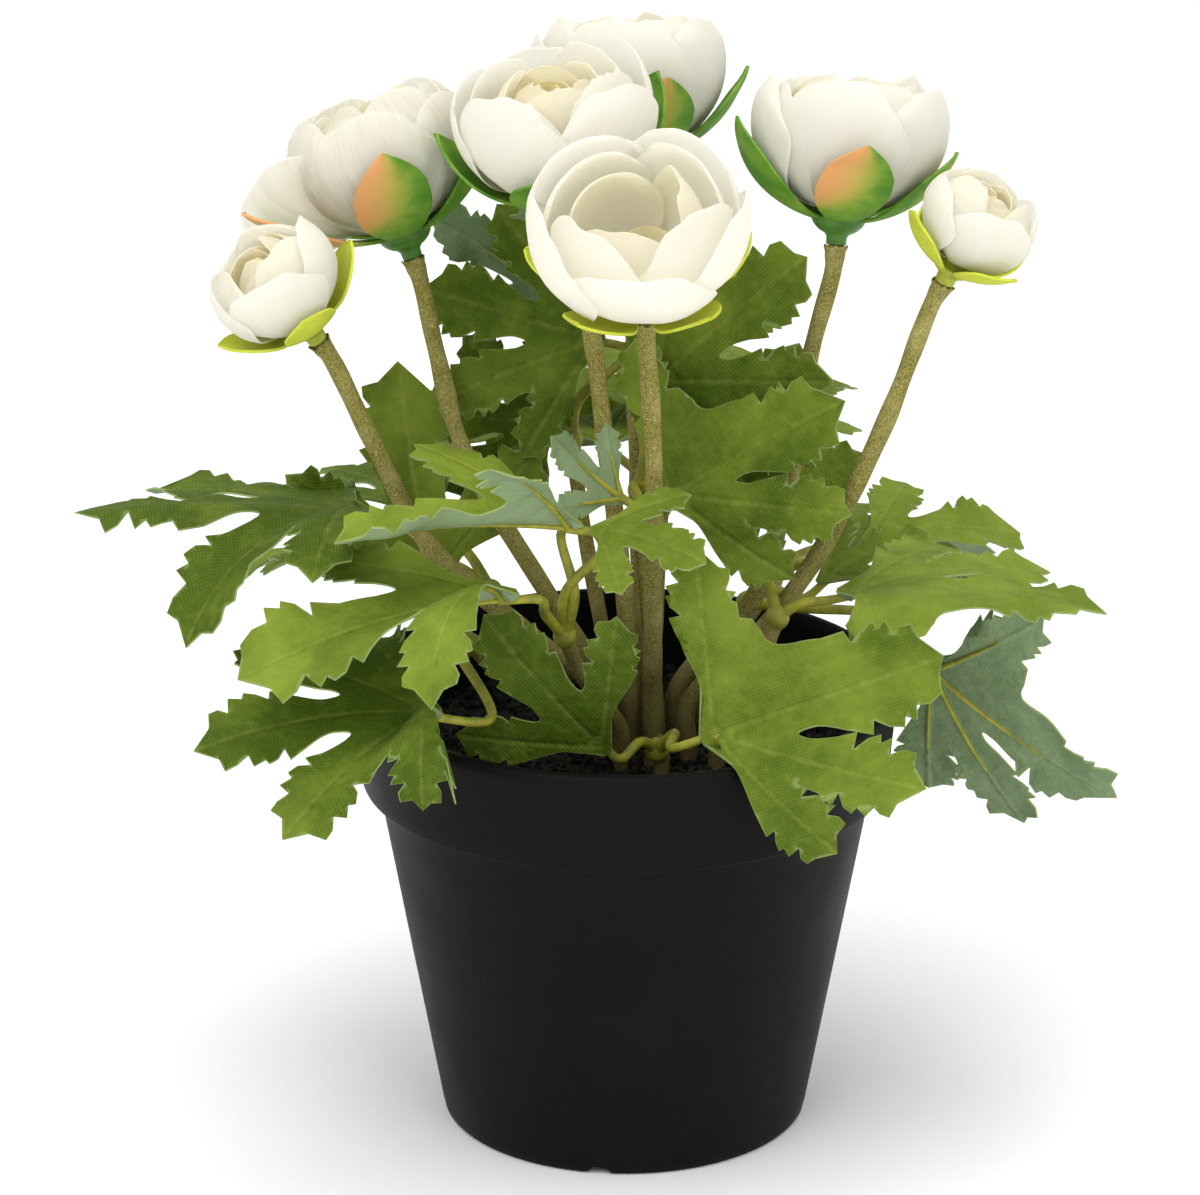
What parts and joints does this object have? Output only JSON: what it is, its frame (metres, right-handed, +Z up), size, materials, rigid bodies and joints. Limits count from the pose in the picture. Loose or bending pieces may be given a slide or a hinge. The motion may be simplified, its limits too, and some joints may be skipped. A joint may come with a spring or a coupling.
{
  "type": "potted ranunculus",
  "caption": "Fabric ranunculus plant with cream blooms, buds and cut leaves, standing in a tapered nursery pot filled with granules.",
  "frame": {"origin": "centre of the pot's flat underside, on the surface that it stands on", "axes": "+Z up along the pot's axis; -Y towards the viewer of the picture; +X to the viewer's right"},
  "size_m": [0.2281, 0.1749, 0.2438],
  "materials": {
    "pot_plastic": "satin moulded polypropylene",
    "cast_ballast": "dull grey cast filling, hidden",
    "soil_granules": "glued black-brown granules",
    "flocked_stem": "olive-brown flocked plastic over wire",
    "leaf_fabric": "printed woven fabric, matt",
    "petal_fabric": "cream-white woven fabric, matt",
    "sepal_fabric": "green fabric with a salmon flush",
    "bud_sepal_fabric": "yellow-green fabric"
  },
  "bodies": {
    "root": {"pot": "pot_plastic", "ballast_block": "cast_ballast", "soil_granules": "soil_granules", "stem_back": "flocked_stem", "calyx_back": "sepal_fabric", "bloom_back": "petal_fabric", "stem_left": "flocked_stem", "calyx_left": "sepal_fabric", "bloom_left": "petal_fabric", "stem_centre": "flocked_stem", "calyx_centre": "sepal_fabric", "bloom_centre": "petal_fabric", "stem_front": "flocked_stem", "calyx_front": "sepal_fabric", "bloom_front": "petal_fabric", "stem_right": "flocked_stem", "calyx_right": "sepal_fabric", "bloom_right": "petal_fabric", "stem_right_bud": "flocked_stem", "calyx_right_bud": "bud_sepal_fabric", "bloom_right_bud": "petal_fabric", "stem_left_bud": "flocked_stem", "calyx_left_bud": "bud_sepal_fabric", "bloom_left_bud": "petal_fabric", "leaf_spray_left_front": "leaf_fabric", "leaf_spray_front_foot": "leaf_fabric", "leaf_spray_left": "leaf_fabric", "leaf_spray_right": "leaf_fabric", "leaf_spray_centre": "leaf_fabric", "leaf_spray_upper_left": "leaf_fabric", "leaf_spray_right_back": "leaf_fabric", "leaf_spray_back": "leaf_fabric", "leaf_spray_back_left": "leaf_fabric", "leaf_spray_back_right": "leaf_fabric"}
  },
  "joints": []
}
